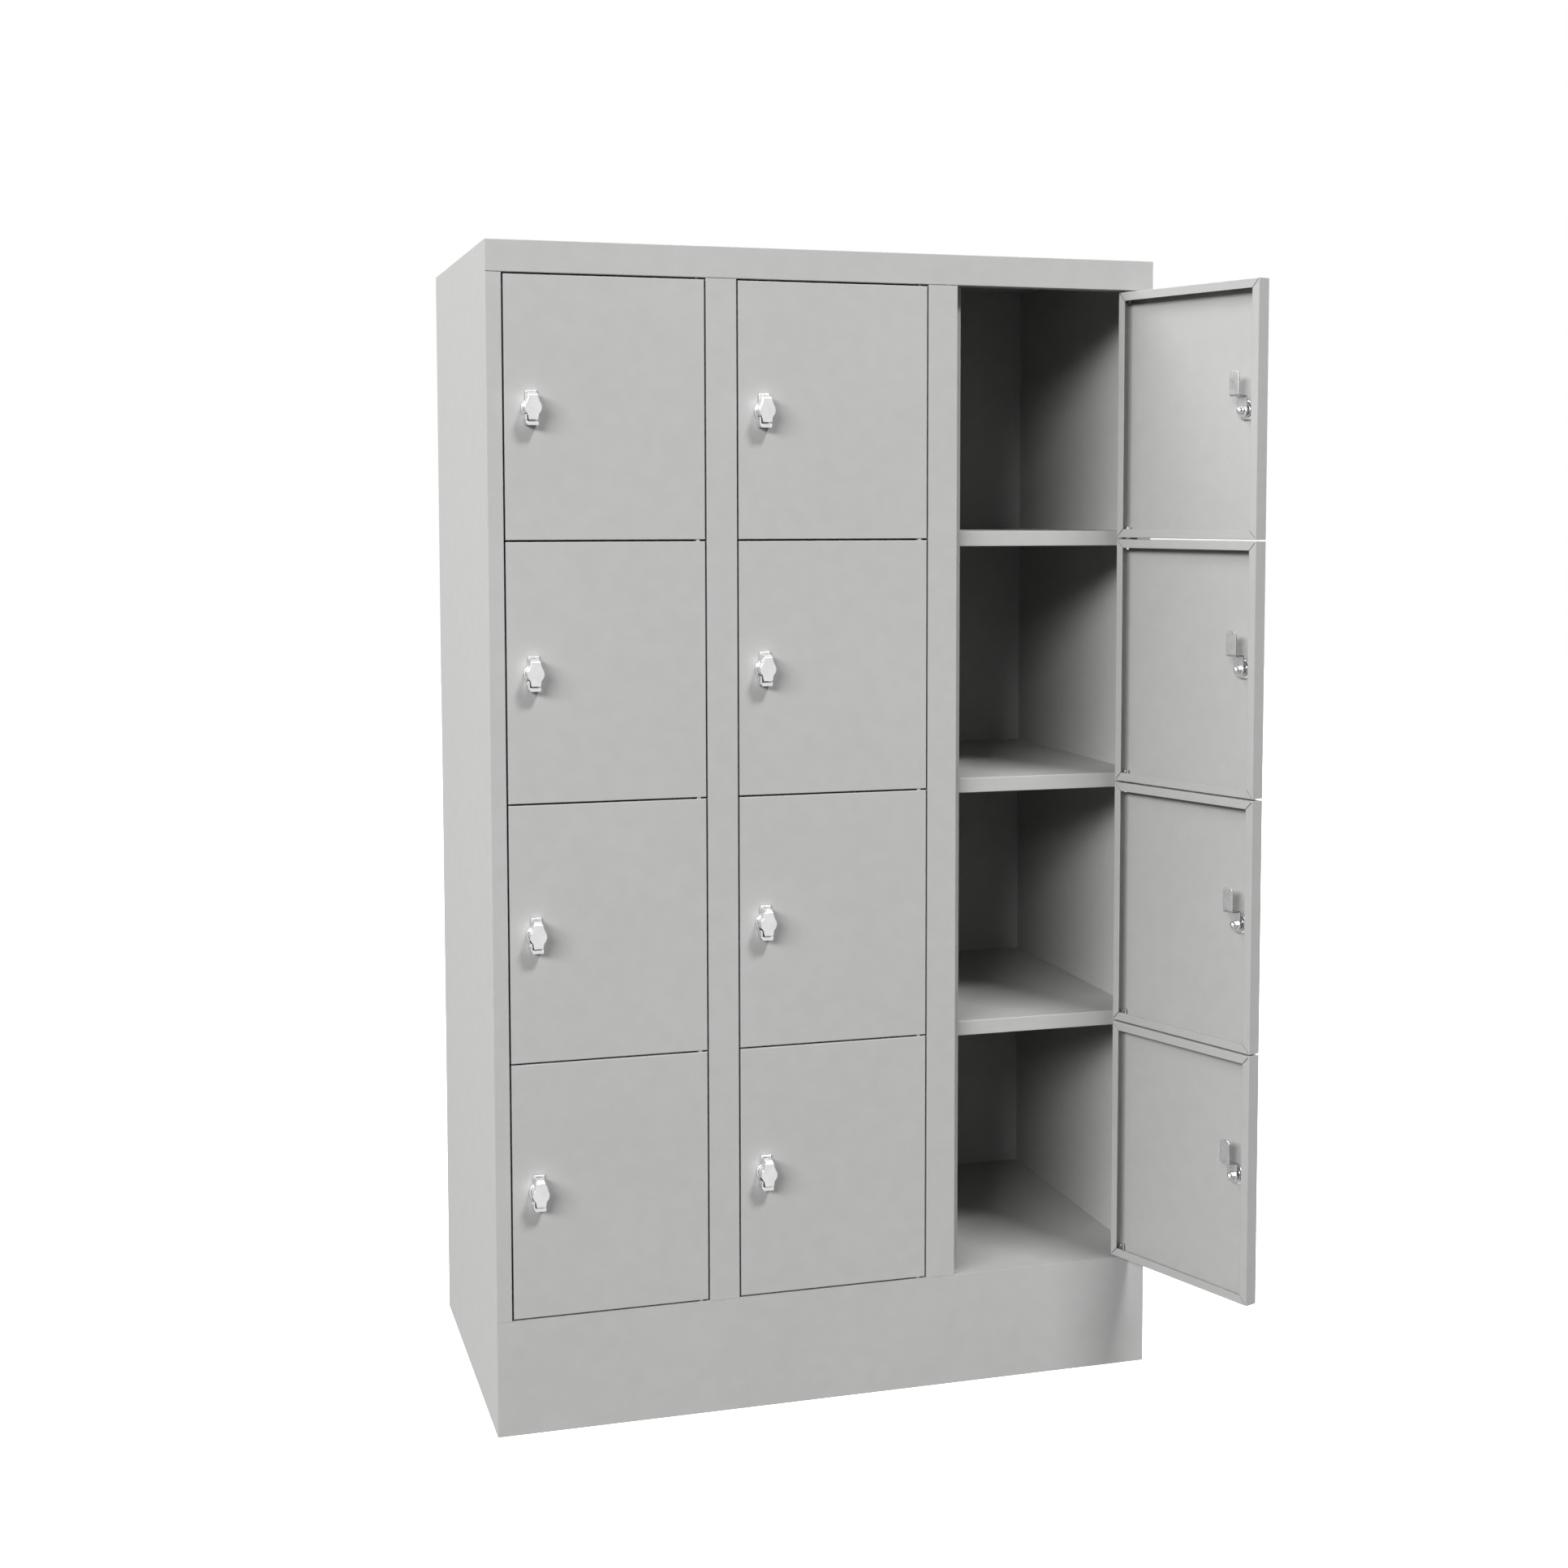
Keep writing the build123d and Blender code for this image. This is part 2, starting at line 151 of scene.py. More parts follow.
class Finish:
    """A material with a few short words for the nodes that every finish uses."""

    def __init__(self, name, metallic=0.0):
        self.material = bpy.data.materials.new(name)
        self.material.use_nodes = True
        self.tree = self.material.node_tree
        self.shader = self.tree.nodes["Principled BSDF"]
        self.shader.inputs["Metallic"].default_value = metallic
        self.place = self.tree.nodes.new("ShaderNodeTexCoord").outputs["Object"]

    def link(self, value, socket):
        """Links a node's output to the socket, or sets a plain value on it."""
        if hasattr(value, "is_linked"):
            self.tree.links.new(value, socket)
        else:
            socket.default_value = value

    def noise(self, scale, detail, stretch=None):
        """Soft noise from 0 to 1. Scale is in waves a metre, and stretch scales each direction."""
        node = self.tree.nodes.new("ShaderNodeTexNoise")
        node.inputs["Scale"].default_value = scale
        node.inputs["Detail"].default_value = detail
        place = self.place
        if stretch:
            mapping = self.tree.nodes.new("ShaderNodeMapping")
            mapping.inputs["Scale"].default_value = stretch
            self.link(place, mapping.inputs["Vector"])
            place = mapping.outputs[0]
        self.link(place, node.inputs["Vector"])
        return node.outputs["Fac"]

    def remap(self, value, span, onto):
        """Moves a value from one span (low, high) onto another, and holds it at the ends."""
        node = self.tree.nodes.new("ShaderNodeMapRange")
        for socket, number in zip(("From Min", "From Max", "To Min", "To Max"), (*span, *onto)):
            node.inputs[socket].default_value = number
        self.link(value, node.inputs["Value"])
        return node.outputs["Result"]

    def sum(self, *values):
        total = values[0]
        for value in values[1:]:
            node = self.tree.nodes.new("ShaderNodeMath")
            self.link(total, node.inputs[0])
            self.link(value, node.inputs[1])
            total = node.outputs[0]
        return total

    def mix(self, share, first, second):
        """The first colour where the share is 0, and the second where it is 1."""
        node = self.tree.nodes.new("ShaderNodeMix")
        node.data_type = "RGBA"
        self.link(share, node.inputs["Factor"])
        self.link(first, node.inputs[FIRST_COLOUR])
        self.link(second, node.inputs[SECOND_COLOUR])
        return node.outputs[MIXED_COLOUR]

    def edges(self, radius):
        """(0 on flats to 1 on edges within the radius, the normal rounded over those edges)."""
        bevel = self.tree.nodes.new("ShaderNodeBevel")
        bevel.samples = BEVEL_SAMPLES
        bevel.inputs["Radius"].default_value = radius
        flat = self.tree.nodes.new("ShaderNodeNewGeometry").outputs["Normal"]
        dot = self.tree.nodes.new("ShaderNodeVectorMath")
        dot.operation = "DOT_PRODUCT"
        self.link(bevel.outputs[0], dot.inputs[0])
        self.link(flat, dot.inputs[1])
        return self.remap(dot.outputs["Value"], FLAT_TO_EDGE, (0.0, 1.0)), bevel.outputs[0]

    def openness(self, distance):
        """1 in the open, and less in slits and corners; the metals use it to paint shade there."""
        node = self.tree.nodes.new("ShaderNodeAmbientOcclusion")
        node.samples = OPENNESS_SAMPLES
        node.inputs["Distance"].default_value = distance
        return node.outputs["AO"]

    def bump(self, height, distance, normal, strength):
        node = self.tree.nodes.new("ShaderNodeBump")
        node.inputs["Strength"].default_value = strength
        node.inputs["Distance"].default_value = distance
        self.link(height, node.inputs["Height"])
        self.link(normal, node.inputs["Normal"])
        return node.outputs[0]

    def set(self, **values):
        names = {"colour": "Base Color", "roughness": "Roughness", "normal": "Normal"}
        for name, value in values.items():
            self.link(value, self.shader.inputs[names[name]])
        return self.material


def grey(value, warm=0.0):
    """A near-grey colour: warm above 0 leans to green-yellow, below 0 to blue."""
    return (value * (1.0 + 0.3 * warm), value * (1.0 + warm), value * (1.0 - warm), 1.0)


NOISE_SPAN = (0.3, 0.7)

# Powder paint: waves a metre, heights in metres, and tones as shares of the paint's own tone.
CLOUD_WAVES, MOTTLE_WAVES, PEEL_WAVES, GRAIN_WAVES = 3.5, 45.0, 620.0, 2100.0
PEEL_HEIGHT, GRAIN_HEIGHT = 0.05 * MM, 0.012 * MM
PEEL_STRENGTH, GRAIN_STRENGTH = 0.6, 0.5
FOLD_RADIUS = 0.9 * MM
DARK_CLOUD, LIGHT_CLOUD, DARK_GRAIN, FOLD_HIGHLIGHT = 0.975, 1.02, 0.7, 1.3
PAINT_SPECULAR = 0.2


def powder_coat(name, tone, roughness):
    """Powder paint: orange peel over a fine grain, cloudy tone, and a lighter line on folds,
    which is a painted highlight; the folds are also a little smoother there, as worn."""
    finish = Finish(name)
    clouds = finish.noise(CLOUD_WAVES, 3.0)
    mottle = finish.noise(MOTTLE_WAVES, 3.0)
    peel = finish.noise(PEEL_WAVES, 2.0)
    grain = finish.noise(GRAIN_WAVES, 1.0)
    edge, rounded = finish.edges(FOLD_RADIUS)
    # Edge mask for the painted fold highlight and the smoother worn folds, broken up by the mottle.
    edge_highlight_and_wear = finish.sum(edge, finish.remap(mottle, (0.35, 0.65), (-0.25, 0.05)))
    cloudy = finish.sum(clouds, finish.remap(mottle, NOISE_SPAN, (-0.25, 0.25)))

    tint = finish.mix(finish.remap(cloudy, (0.2, 0.8), (0.0, 1.0)),
                      grey(tone * DARK_CLOUD, 0.012), grey(tone * LIGHT_CLOUD, 0.006))
    tint = finish.mix(finish.remap(grain, (0.25, 0.75), (0.0, 0.06)),
                      tint, grey(tone * DARK_GRAIN))
    # Painted highlight: lighter paint along folds and edges.
    tint = finish.mix(finish.remap(edge_highlight_and_wear, (0.35, 1.0), (0.0, 0.55)),
                      tint, grey(min(1.0, tone * FOLD_HIGHLIGHT), 0.004))

    matt = finish.sum(finish.remap(clouds, NOISE_SPAN, (roughness - 0.03, roughness + 0.04)),
                      finish.remap(peel, NOISE_SPAN, (-0.03, 0.04)),
                      finish.remap(edge_highlight_and_wear, (0.4, 1.0), (0.0, -0.08)))
    relief = finish.bump(grain, GRAIN_HEIGHT, rounded, GRAIN_STRENGTH)
    relief = finish.bump(peel, PEEL_HEIGHT, relief, PEEL_STRENGTH)
    finish.shader.inputs["Specular IOR Level"].default_value = PAINT_SPECULAR
    return finish.set(colour=tint, roughness=matt, normal=relief)


# Plated metal: waves a metre, lengths in metres, and tones as shares of the metal's own tone.
PATCH_WAVES, SCRATCH_WAVES, SPANGLE_CELLS = 90.0, 1500.0, 420.0
SCRATCH_HEIGHT, SCRATCH_STRENGTH = 0.01 * MM, 0.5
RIM_RADIUS, SLIT_REACH = 0.35 * MM, 4.0 * MM
DULL_PATCH, DARK_SPANGLE, RIM_HIGHLIGHT, SLIT_SHADE = 0.95, 0.72, 1.12, 0.16
BRIGHTEST_HIGHLIGHT = 0.97


def plated(name, tone, warm, smooth, rough, streak=None, spangle=0.0):
    """Plated or turned metal: roughness that varies in patches, faint scratches along one way,
    edges painted brighter as a highlight, painted shade in slits, and on zinc a spangle of cells."""
    finish = Finish(name, metallic=1.0)
    patches = finish.noise(PATCH_WAVES, 3.0)
    fine = finish.noise(SCRATCH_WAVES, 2.0, streak)
    edge, rounded = finish.edges(RIM_RADIUS)
    colour = finish.mix(finish.remap(patches, NOISE_SPAN, (0.0, 1.0)),
                        grey(tone * DULL_PATCH, warm), grey(tone, warm * 0.5))
    if spangle:
        cells = finish.tree.nodes.new("ShaderNodeTexVoronoi")
        cells.inputs["Scale"].default_value = SPANGLE_CELLS
        finish.link(finish.place, cells.inputs["Vector"])
        colour = finish.mix(finish.remap(cells.outputs["Distance"], (0.2, 0.8), (0.0, spangle)),
                            colour, grey(tone * DARK_SPANGLE, warm))
    # Painted highlight: brighter metal along the rims.
    colour = finish.mix(finish.remap(edge, (0.2, 1.0), (0.0, 0.6)),
                        colour, grey(min(BRIGHTEST_HIGHLIGHT, tone * RIM_HIGHLIGHT)))
    # Painted shade: darker metal in slits and corners, where less of the room is seen.
    colour = finish.mix(finish.remap(finish.openness(SLIT_REACH), (0.25, 0.75), (1.0, 0.0)),
                        colour, grey(tone * SLIT_SHADE))
    shine = finish.sum(finish.remap(patches, NOISE_SPAN, (smooth, rough)),
                       finish.remap(fine, NOISE_SPAN, (-0.03, 0.05)))
    relief = finish.bump(fine, SCRATCH_HEIGHT, rounded, SCRATCH_STRENGTH)
    return finish.set(colour=colour, roughness=shine, normal=relief)


DRAWN_UPWARDS = (1.0, 1.0, 0.25)
DRAWN_FINE = (1.0, 1.0, 0.04)
cabinet_paint = powder_coat("cabinet_powder_coat", 0.43, 0.50)
door_paint = powder_coat("door_powder_coat", 0.43, 0.48)
satin_chrome = plated("satin_chrome", 0.86, -0.010, 0.16, 0.27)
zinc_plate = plated("zinc_plated_steel", 0.78, -0.012, 0.26, 0.40, DRAWN_UPWARDS, 0.5)
bright_pin = plated("turned_bright_steel", 0.90, -0.008, 0.12, 0.22, DRAWN_FINE)
# The top pins are simply given a near-black tone, far darker than the lower pins.
dark_pin = plated("dark_top_pin_steel", 0.14, -0.010, 0.40, 0.52, DRAWN_FINE)

PIN_FINISHES = {"pivot_pins": bright_pin, "top_pivot_pins": dark_pin}
for node_name, node in nodes.items():
    paint = door_paint if node_name.startswith("door_") else cabinet_paint
    for material_slot in node.material_slots:
        material_slot.material = PIN_FINISHES.get(node_name, paint)

# ------------------------------------------------------------------ surfaces

ARC_POINTS = 7
SHORTEST_STEP = 0.02
QUARTER = np.linspace(0.0, QUARTER_TURN, 5)
HOLE_EDGE_SHARE = 0.6
SPOKE_START, SPOKE_REST = (0.0, 0.15), 0.35
TINY = 1e-9


def faces_between(rows, columns, closed):
    """Four-sided faces of a grid whose columns close into a ring, and whose rows may close too."""
    row = np.arange(rows if closed else rows - 1)[:, None]
    column = np.arange(columns)[None, :]
    after_row, after_column = (row + 1) % rows, (column + 1) % columns
    corners = [row * columns + column, row * columns + after_column,
               after_row * columns + after_column, after_row * columns + column]
    return np.stack(corners, axis=-1).reshape(-1, 4)


def skin(rings, closed=False):
    """A closed surface over rings of points (rows, columns, xyz). Open rows end in a fan to each
    end ring's middle. Faces are turned outwards by the sign of the enclosed volume, the sum of
    corner · (next × last) over the faces."""
    rows, columns, _ = rings.shape
    points = rings.reshape(-1, 3)
    quads = faces_between(rows, columns, closed)
    triangles = np.zeros((0, 3), int)
    if not closed:
        first, last = len(points), len(points) + 1
        points = np.vstack([points, rings[0].mean(axis=0), rings[-1].mean(axis=0)])
        here = np.arange(columns)
        after = (here + 1) % columns
        start = np.stack([after, here, np.full(columns, first)], axis=-1)
        end = np.stack([here, after, np.full(columns, last)], axis=-1)
        end[:, :2] += (rows - 1) * columns
        triangles = np.vstack([start, end])
    split = np.vstack([quads[:, [0, 1, 2]], quads[:, [0, 2, 3]], triangles])
    a, b, c = (points[split[:, k]] for k in range(3))
    if np.einsum("ij,ij->i", a, np.cross(b, c)).sum() < 0:
        quads, triangles = quads[:, ::-1], triangles[:, ::-1]
    return points, quads, triangles


def rounded_outline(corners, radius, count, even=False):
    """A convex outline with round corners, as points a steady distance apart, and the arcs' own
    points unless even. Every corner's arc is centred on the outline moved in by the radius, and
    swings from one side's normal to the next's."""
    corners = np.asarray(corners, float)
    sides = np.roll(corners, -1, axis=0) - corners
    along = sides / np.linalg.norm(sides, axis=1, keepdims=True)
    outward = np.stack([along[:, 1], -along[:, 0]], axis=-1)
    before = np.roll(outward, 1, axis=0)
    bend = np.einsum("ij,ij->i", before, outward)[:, None]
    centre = corners - radius * (before + outward) / (1.0 + bend)
    share = np.linspace(0.0, 1.0, ARC_POINTS)[None, :, None]
    swing = before[:, None, :] * (1.0 - share) + outward[:, None, :] * share
    swing /= np.linalg.norm(swing, axis=-1, keepdims=True)
    line = (centre[:, None, :] + radius * swing).reshape(-1, 2)
    line = np.vstack([line, line[:1]])
    lengths = np.linalg.norm(np.diff(line, axis=0), axis=1)
    run = np.concatenate([[0.0], np.cumsum(lengths)])
    steps = np.linspace(0.0, run[-1], count, endpoint=False)
    if not even:
        steps = np.unique(np.concatenate([run[:-1], steps]))
        steps = steps[np.concatenate([[True], np.diff(steps) > SHORTEST_STEP])]
    return np.stack([np.interp(steps, run, line[:, 0]), np.interp(steps, run, line[:, 1])], axis=-1)


def around(radius, angle):
    """Points in a plane at a radius, which may vary, and an angle about the middle."""
    return np.stack([radius * np.cos(angle), radius * np.sin(angle)], axis=-1)


def pierced(outline, middle, radius, low, high, edge, spokes):
    """A plate with a round hole, as a ring-shaped grid. Each outline point has a spoke to the
    hole's rim. The section loop goes out along the high face, round the edge by two quarter
    circles, back along the low face and through the hole. Low and high are the two faces'
    heights, as functions of the place in the plate. Gives (in-plane 2, height) points."""
    middle = np.asarray(middle, float)
    away = outline - middle
    length = np.linalg.norm(away, axis=1)[:, None]
    ray = away / length
    rim = middle + ray * radius
    inner = middle + ray * (length - edge)
    rim_edge = HOLE_EDGE_SHARE * edge
    rim_out = middle + ray * (radius + rim_edge)
    steps = np.linspace(SPOKE_REST, 1.0, spokes - len(SPOKE_START))
    out = np.concatenate([SPOKE_START, steps])[None, :, None]
    face = rim_out[:, None, :] + (inner - rim_out)[:, None, :] * out
    sine = np.sin(QUARTER)[None, :, None]
    turn = inner[:, None, :] + ray[:, None, :] * edge * sine
    hole = rim_out[:, None, :] + (rim - rim_out)[:, None, :] * sine
    top = np.concatenate([hole[:, ::-1][:, :-1], face, turn[:, 1:]], axis=1)
    fall = 1.0 - np.cos(QUARTER)
    drop = np.concatenate([rim_edge * fall[::-1][:-1], np.zeros(face.shape[1]), edge * fall[1:]])
    upper = high(top[..., 0], top[..., 1]) - drop
    lower = low(top[..., 0], top[..., 1]) + drop
    front = np.concatenate([top, upper[..., None]], axis=-1)
    rear = np.concatenate([top, lower[..., None]], axis=-1)[:, ::-1]
    return np.concatenate([front, rear], axis=1).transpose(1, 0, 2)


def stacked(outline_at, depths, insets):
    """Rings of one outline along Y: outline_at(depth, inset) gives each ring's X and Z."""
    rings = [np.insert(outline_at(depth, inset), 1, depth, axis=1)
             for depth, inset in zip(depths, insets)]
    return np.stack(rings)


def turned(radius_at, depths, columns):
    """Rings of a turned piece along Y: its radius is a function of the depth and the angle."""
    depth = np.asarray(depths, float)[:, None]
    angle = np.linspace(0.0, FULL_TURN, columns, endpoint=False)[None, :]
    radius = radius_at(depth, angle) + 0.0 * depth * angle
    return np.stack([radius * np.cos(angle), depth + 0.0 * radius, radius * np.sin(angle)], axis=-1)


def hexagon(angle, flats):
    """The radius of a hexagon: half the flats over the cosine of the turn from the nearest
    flat's middle."""
    return flats / 2 / np.cos(np.mod(angle, math.pi / 3) - math.pi / 6)


def smooth_maximum(a, b, blend):
    """The larger of two values, with a soft change: blend · log(e^(a/blend) + e^(b/blend))."""
    top = np.maximum(a, b)
    return top + blend * np.log(np.exp((a - top) / blend) + np.exp((b - top) / blend))


def rounding(start, end, radius):
    """Depths from start back to a smaller end, and the inset at each, so that both rims are
    quarter circles of the radius."""
    near = start - radius * (1.0 - np.cos(QUARTER))
    far = end + radius * (1.0 - np.cos(QUARTER[::-1]))
    inset = radius * (1.0 - np.sin(QUARTER))
    return np.concatenate([near, far]), np.concatenate([inset, inset[::-1]])


# ------------------------------------------------------------------ latches
# Lengths are in mm about the latch's own axis: X to the right seen from outside, Y from the
# door's outer face to the inside, Z up. Tapers and slopes are mm a mm, shares and thicknesses at
# the cam's ends are parts of the whole, and the hub's start is an angle in radians.

PLATE, PLATE_WAIST, PLATE_BLEND, PLATE_INSET, PLATE_RIM = 3.0, 12.5, 0.35, 0.15, 0.9
SPINDLE, BARREL, BORE = 4.0, 9.0, 4.1

GRIP_FRONT, GRIP_SEAM, GRIP_BACK = -21.0, -15.6, -3.5
GRIP_TOP, GRIP_BOTTOM = 19.0, -15.2
GRIP_WAIST, GRIP_BLEND = 10.6, 0.22
BAR_ABOVE, TAPER_ABOVE = 9.85, 0.27
BAR_BELOW, TAPER_BELOW = 8.0, 0.14
GRIP_FACET, GRIP_CORNER, SEAM_GAP = 3.5, 0.7, 0.25
CAP_RIM, BODY_CORNER, BODY_RIM = 0.45, 0.4, 0.45
FACET_STOP, FACET_RINGS = 0.7, 8
CAP_HEIGHTS, CAP_TOP_POINTS = 44, 5

EYE_Y, EYE_Z, EYE_RADIUS = -9.5, -12.0, 2.5
LUG_INNER, LUG_OUTER, LUG_FRONT, LUG_TOP = 7.1, 9.1, -16.0, -8.6
LUG_REAR, LUG_LIFT, LUG_CORNER, LUG_RIM = -0.5, 0.4, 1.0, 0.35
BASE_HALF, FOOT_TOP = 22.0, -17.1
FOOT_SINK, FOOT_CORNER, FOOT_RIM = 0.3, 0.8, 0.5

SPINDLE_LAP, GROOVE_DEPTH, GROOVE_NEAR, GROOVE_FAR = 1.0, 0.3, 7.3, 8.0
GROOVE_RINGS = (7.2, 7.35, 7.9, 8.05)
THREAD_PITCH, THREAD_DEPTH, THREAD_CLEAR = 1.25, 0.45, 0.02
BARREL_START, THREAD_END, BARREL_END, BARREL_LIP = -1.0, 6.45, 6.7, 0.7
NUT_FLATS, NUT_NEAR, NUT_FAR = 24.0, 1.2, 5.2
NUT_INSET, NUT_ROUND, NUT_RIM, NUT_BORE_LAP = 0.05, 11.6, 0.25, 0.2

CAM_NEAR, CAM_THICK, CAM_HUB, CAM_STEP = 10.6, 2.0, 9.0, 18.0
CAM_BEND, CAM_BEND_GAP, CAM_EDGE, CAM_FLAT_SHARE = 2.2, 0.2, 0.3, 0.6
CAM_HUB_START, CAM_ARM_START, CAM_TIP_START = 0.02, 0.8, 0.5
CAM_TIP_RINGS = (0.15, 0.03)
CAM_END_THICKNESS, CAM_HUB_FADE, CAM_TIP_FADE = 0.45, 0.3, 0.1
TONGUE_NEAR, TONGUE_TIP, TONGUE_HALF, TIP_CHAMFER = 25.0, 49.8, 8.25, 4.0
CAP_FLATS, CAP_ROUND, CAP_HEIGHT, CAP_DOME, CAP_SLOPE = 9.0, 5.15, 3.2, 4.2, 1.7
CAP_SEAT_RINGS, CAP_SHOULDER_RINGS = (-0.2, 0.0, 0.3), (-0.15, 0.0)
CAP_SIDE_START, CAP_SIDE_END = 0.6, 0.4
CAP_LOW_CONE, CAP_HIGH_CONE = 0.45, 0.55
CAP_NECK, CAP_TIP_CLIMB, CAP_TIP_RADIUS = 0.02, 0.03, 0.12

# Grid sizes: points round an outline or an axis, then spokes across a plate or rings along Y.
BODY_POINTS, BODY_SPOKES = 150, 16
PLATE_POINTS, PLATE_SPOKES = 168, 9
LUG_POINTS, LUG_SPOKES = 90, 10
FOOT_POINTS = 110
NUT_POINTS, NUT_SPOKES = 144, 12
SPINDLE_POINTS = 48
BARREL_POINTS, THREAD_RINGS, BORE_RINGS = 64, 52, 4
CAP_POINTS, CAP_SIDE_RINGS, CAP_DOME_RINGS = 72, 5, 14


def grip_half(z):
    """Half the grip's width at a height: a round waist that runs softly into a bar, which is
    narrower to both ends."""
    waist = np.sqrt(np.maximum(GRIP_WAIST ** 2 - z ** 2, 1e-6))
    bar = np.where(z > 0, BAR_ABOVE - TAPER_ABOVE * z, BAR_BELOW + TAPER_BELOW * z)
    return smooth_maximum(waist, bar, GRIP_BLEND)


def grip_cap():
    """The grip's front part: the waist-and-bar outline stacked along Y, its top cut back at 45
    degrees as it nears the front, and its rims rounded by moving the outline in."""
    share = (1.0 - np.cos(np.linspace(0.0, math.pi, CAP_HEIGHTS))) / 2
    across = np.linspace(-1.0, 1.0, CAP_TOP_POINTS + 2)[1:-1]
    level = np.ones(CAP_TOP_POINTS)

    def outline_at(depth, inset):
        top = GRIP_TOP - max(0.0, GRIP_FRONT + GRIP_FACET - depth) - inset
        bottom = GRIP_BOTTOM + inset
        z = bottom + (top - bottom) * share
        near_end = np.minimum(z - z[0], z[-1] - z)
        into_corner = np.maximum(GRIP_CORNER - near_end, 0.0)
        shave = GRIP_CORNER - np.sqrt(np.maximum(GRIP_CORNER ** 2 - into_corner ** 2, 0.0))
        half = grip_half(z) - inset - shave
        right = np.stack([half, z], axis=-1)
        top_edge = np.stack([-across * half[-1], level * z[-1]], axis=-1)
        left = right[::-1] * (-1.0, 1.0)
        bottom_edge = np.stack([across * half[0], level * z[0]], axis=-1)
        return np.vstack([right, top_edge, left, bottom_edge])

    depths, insets = rounding(GRIP_SEAM - SEAM_GAP, GRIP_FRONT, CAP_RIM)
    facet = np.linspace(GRIP_FRONT + GRIP_FACET, GRIP_FRONT + FACET_STOP, FACET_RINGS)
    depths = np.insert(depths, len(QUARTER), facet)
    insets = np.insert(insets, len(QUARTER), np.zeros(FACET_RINGS))
    return skin(stacked(outline_at, depths, insets))


def grip_body():
    """The grip's rear part, pierced from side to side by the padlock eye: its outline is in Y and
    Z, and both faces stand off the middle by the waist-and-bar half width."""
    outline = rounded_outline([(GRIP_SEAM, GRIP_BOTTOM), (GRIP_BACK, GRIP_BOTTOM),
                               (GRIP_BACK, GRIP_TOP), (GRIP_SEAM, GRIP_TOP)],
                              BODY_CORNER, BODY_POINTS)
    rings = pierced(outline, (EYE_Y, EYE_Z), EYE_RADIUS, lambda y, z: -grip_half(z),
                    lambda y, z: grip_half(z), BODY_RIM, BODY_SPOKES)
    return skin(rings[..., [2, 0, 1]], closed=True)


def spindle():
    """The shaft behind the grip: a plain turned rod with a shallow groove behind the barrel."""
    depths = [GRIP_BACK - SPINDLE_LAP, GRIP_BACK, 0.0, BARREL_END, *GROOVE_RINGS,
              CAM_NEAR + CAM_THICK]

    def radius_at(depth, angle):
        return SPINDLE - GROOVE_DEPTH * ((depth > GROOVE_NEAR) & (depth < GROOVE_FAR))

    return skin(turned(radius_at, depths, SPINDLE_POINTS))


def base_plate():
    """The plate against the door: a round waist joined to a bar, with the spindle's hole and a
    rounded rim."""
    angle = np.linspace(0.0, FULL_TURN, PLATE_POINTS, endpoint=False)
    across = np.abs(np.cos(angle)) + TINY
    up = np.abs(np.sin(angle)) + TINY
    bar = np.minimum(LUG_INNER / across, BASE_HALF / up)
    reach = smooth_maximum(np.full_like(angle, PLATE_WAIST), bar, PLATE_BLEND) - PLATE_INSET
    rings = pierced(around(reach, angle), (0.0, 0.0), BORE, lambda x, z: -PLATE + 0.0 * x,
                    lambda x, z: 0.0 * x, PLATE_RIM, PLATE_SPOKES)
    return skin(rings[..., [0, 2, 1]], closed=True)


def base_lug():
    """The side lug: a plate in Y and Z pierced by the padlock eye, its outer face running in to
    the foot below."""
    low = -BASE_HALF + LUG_LIFT
    outline = rounded_outline([(LUG_FRONT, low), (LUG_REAR, low), (LUG_REAR, LUG_TOP),
                               (LUG_FRONT, LUG_TOP)], LUG_CORNER, LUG_POINTS)
    thickness = LUG_OUTER - LUG_INNER

    def outer(y, z):
        slope = thickness * (z + BASE_HALF) / (FOOT_TOP + BASE_HALF)
        return -LUG_INNER - np.minimum(thickness, np.maximum(slope, 0.0))

    rings = pierced(outline, (EYE_Y, EYE_Z), EYE_RADIUS, outer,
                    lambda y, z: -LUG_INNER + 0.0 * z, LUG_RIM, LUG_SPOKES)
    return skin(rings[..., [2, 0, 1]], closed=True)


def base_foot():
    """The foot below the grip: a rounded rectangle stacked along Y with rounded rims."""

    def outline_at(depth, inset):
        half, low, high = LUG_INNER - inset, -BASE_HALF + inset, FOOT_TOP - inset
        return rounded_outline([(-half, low), (half, low), (half, high), (-half, high)],
                               FOOT_CORNER, FOOT_POINTS, even=True)

    return skin(stacked(outline_at, *rounding(-PLATE + FOOT_SINK, LUG_FRONT, FOOT_RIM)))


def barrel():
    """The threaded barrel through the door: its radius less a shallow triangle wave that climbs
    one pitch each turn. The rings go in along the thread and come back through the bore."""

    def thread(depth, angle):
        climb = np.mod(depth / THREAD_PITCH - angle / FULL_TURN, 1.0)
        return BARREL - THREAD_CLEAR - THREAD_DEPTH * np.abs(2.0 * climb - 1.0)

    inwards = np.linspace(BARREL_START, THREAD_END, THREAD_RINGS)
    outwards = np.linspace(BARREL_END, BARREL_START, BORE_RINGS)
    body = turned(thread, inwards, BARREL_POINTS)
    lip = turned(lambda depth, angle: BARREL - BARREL_LIP, [BARREL_END], BARREL_POINTS)
    mouth = turned(lambda depth, angle: BORE, outwards, BARREL_POINTS)
    return skin(np.concatenate([body, lip, mouth]), closed=True)


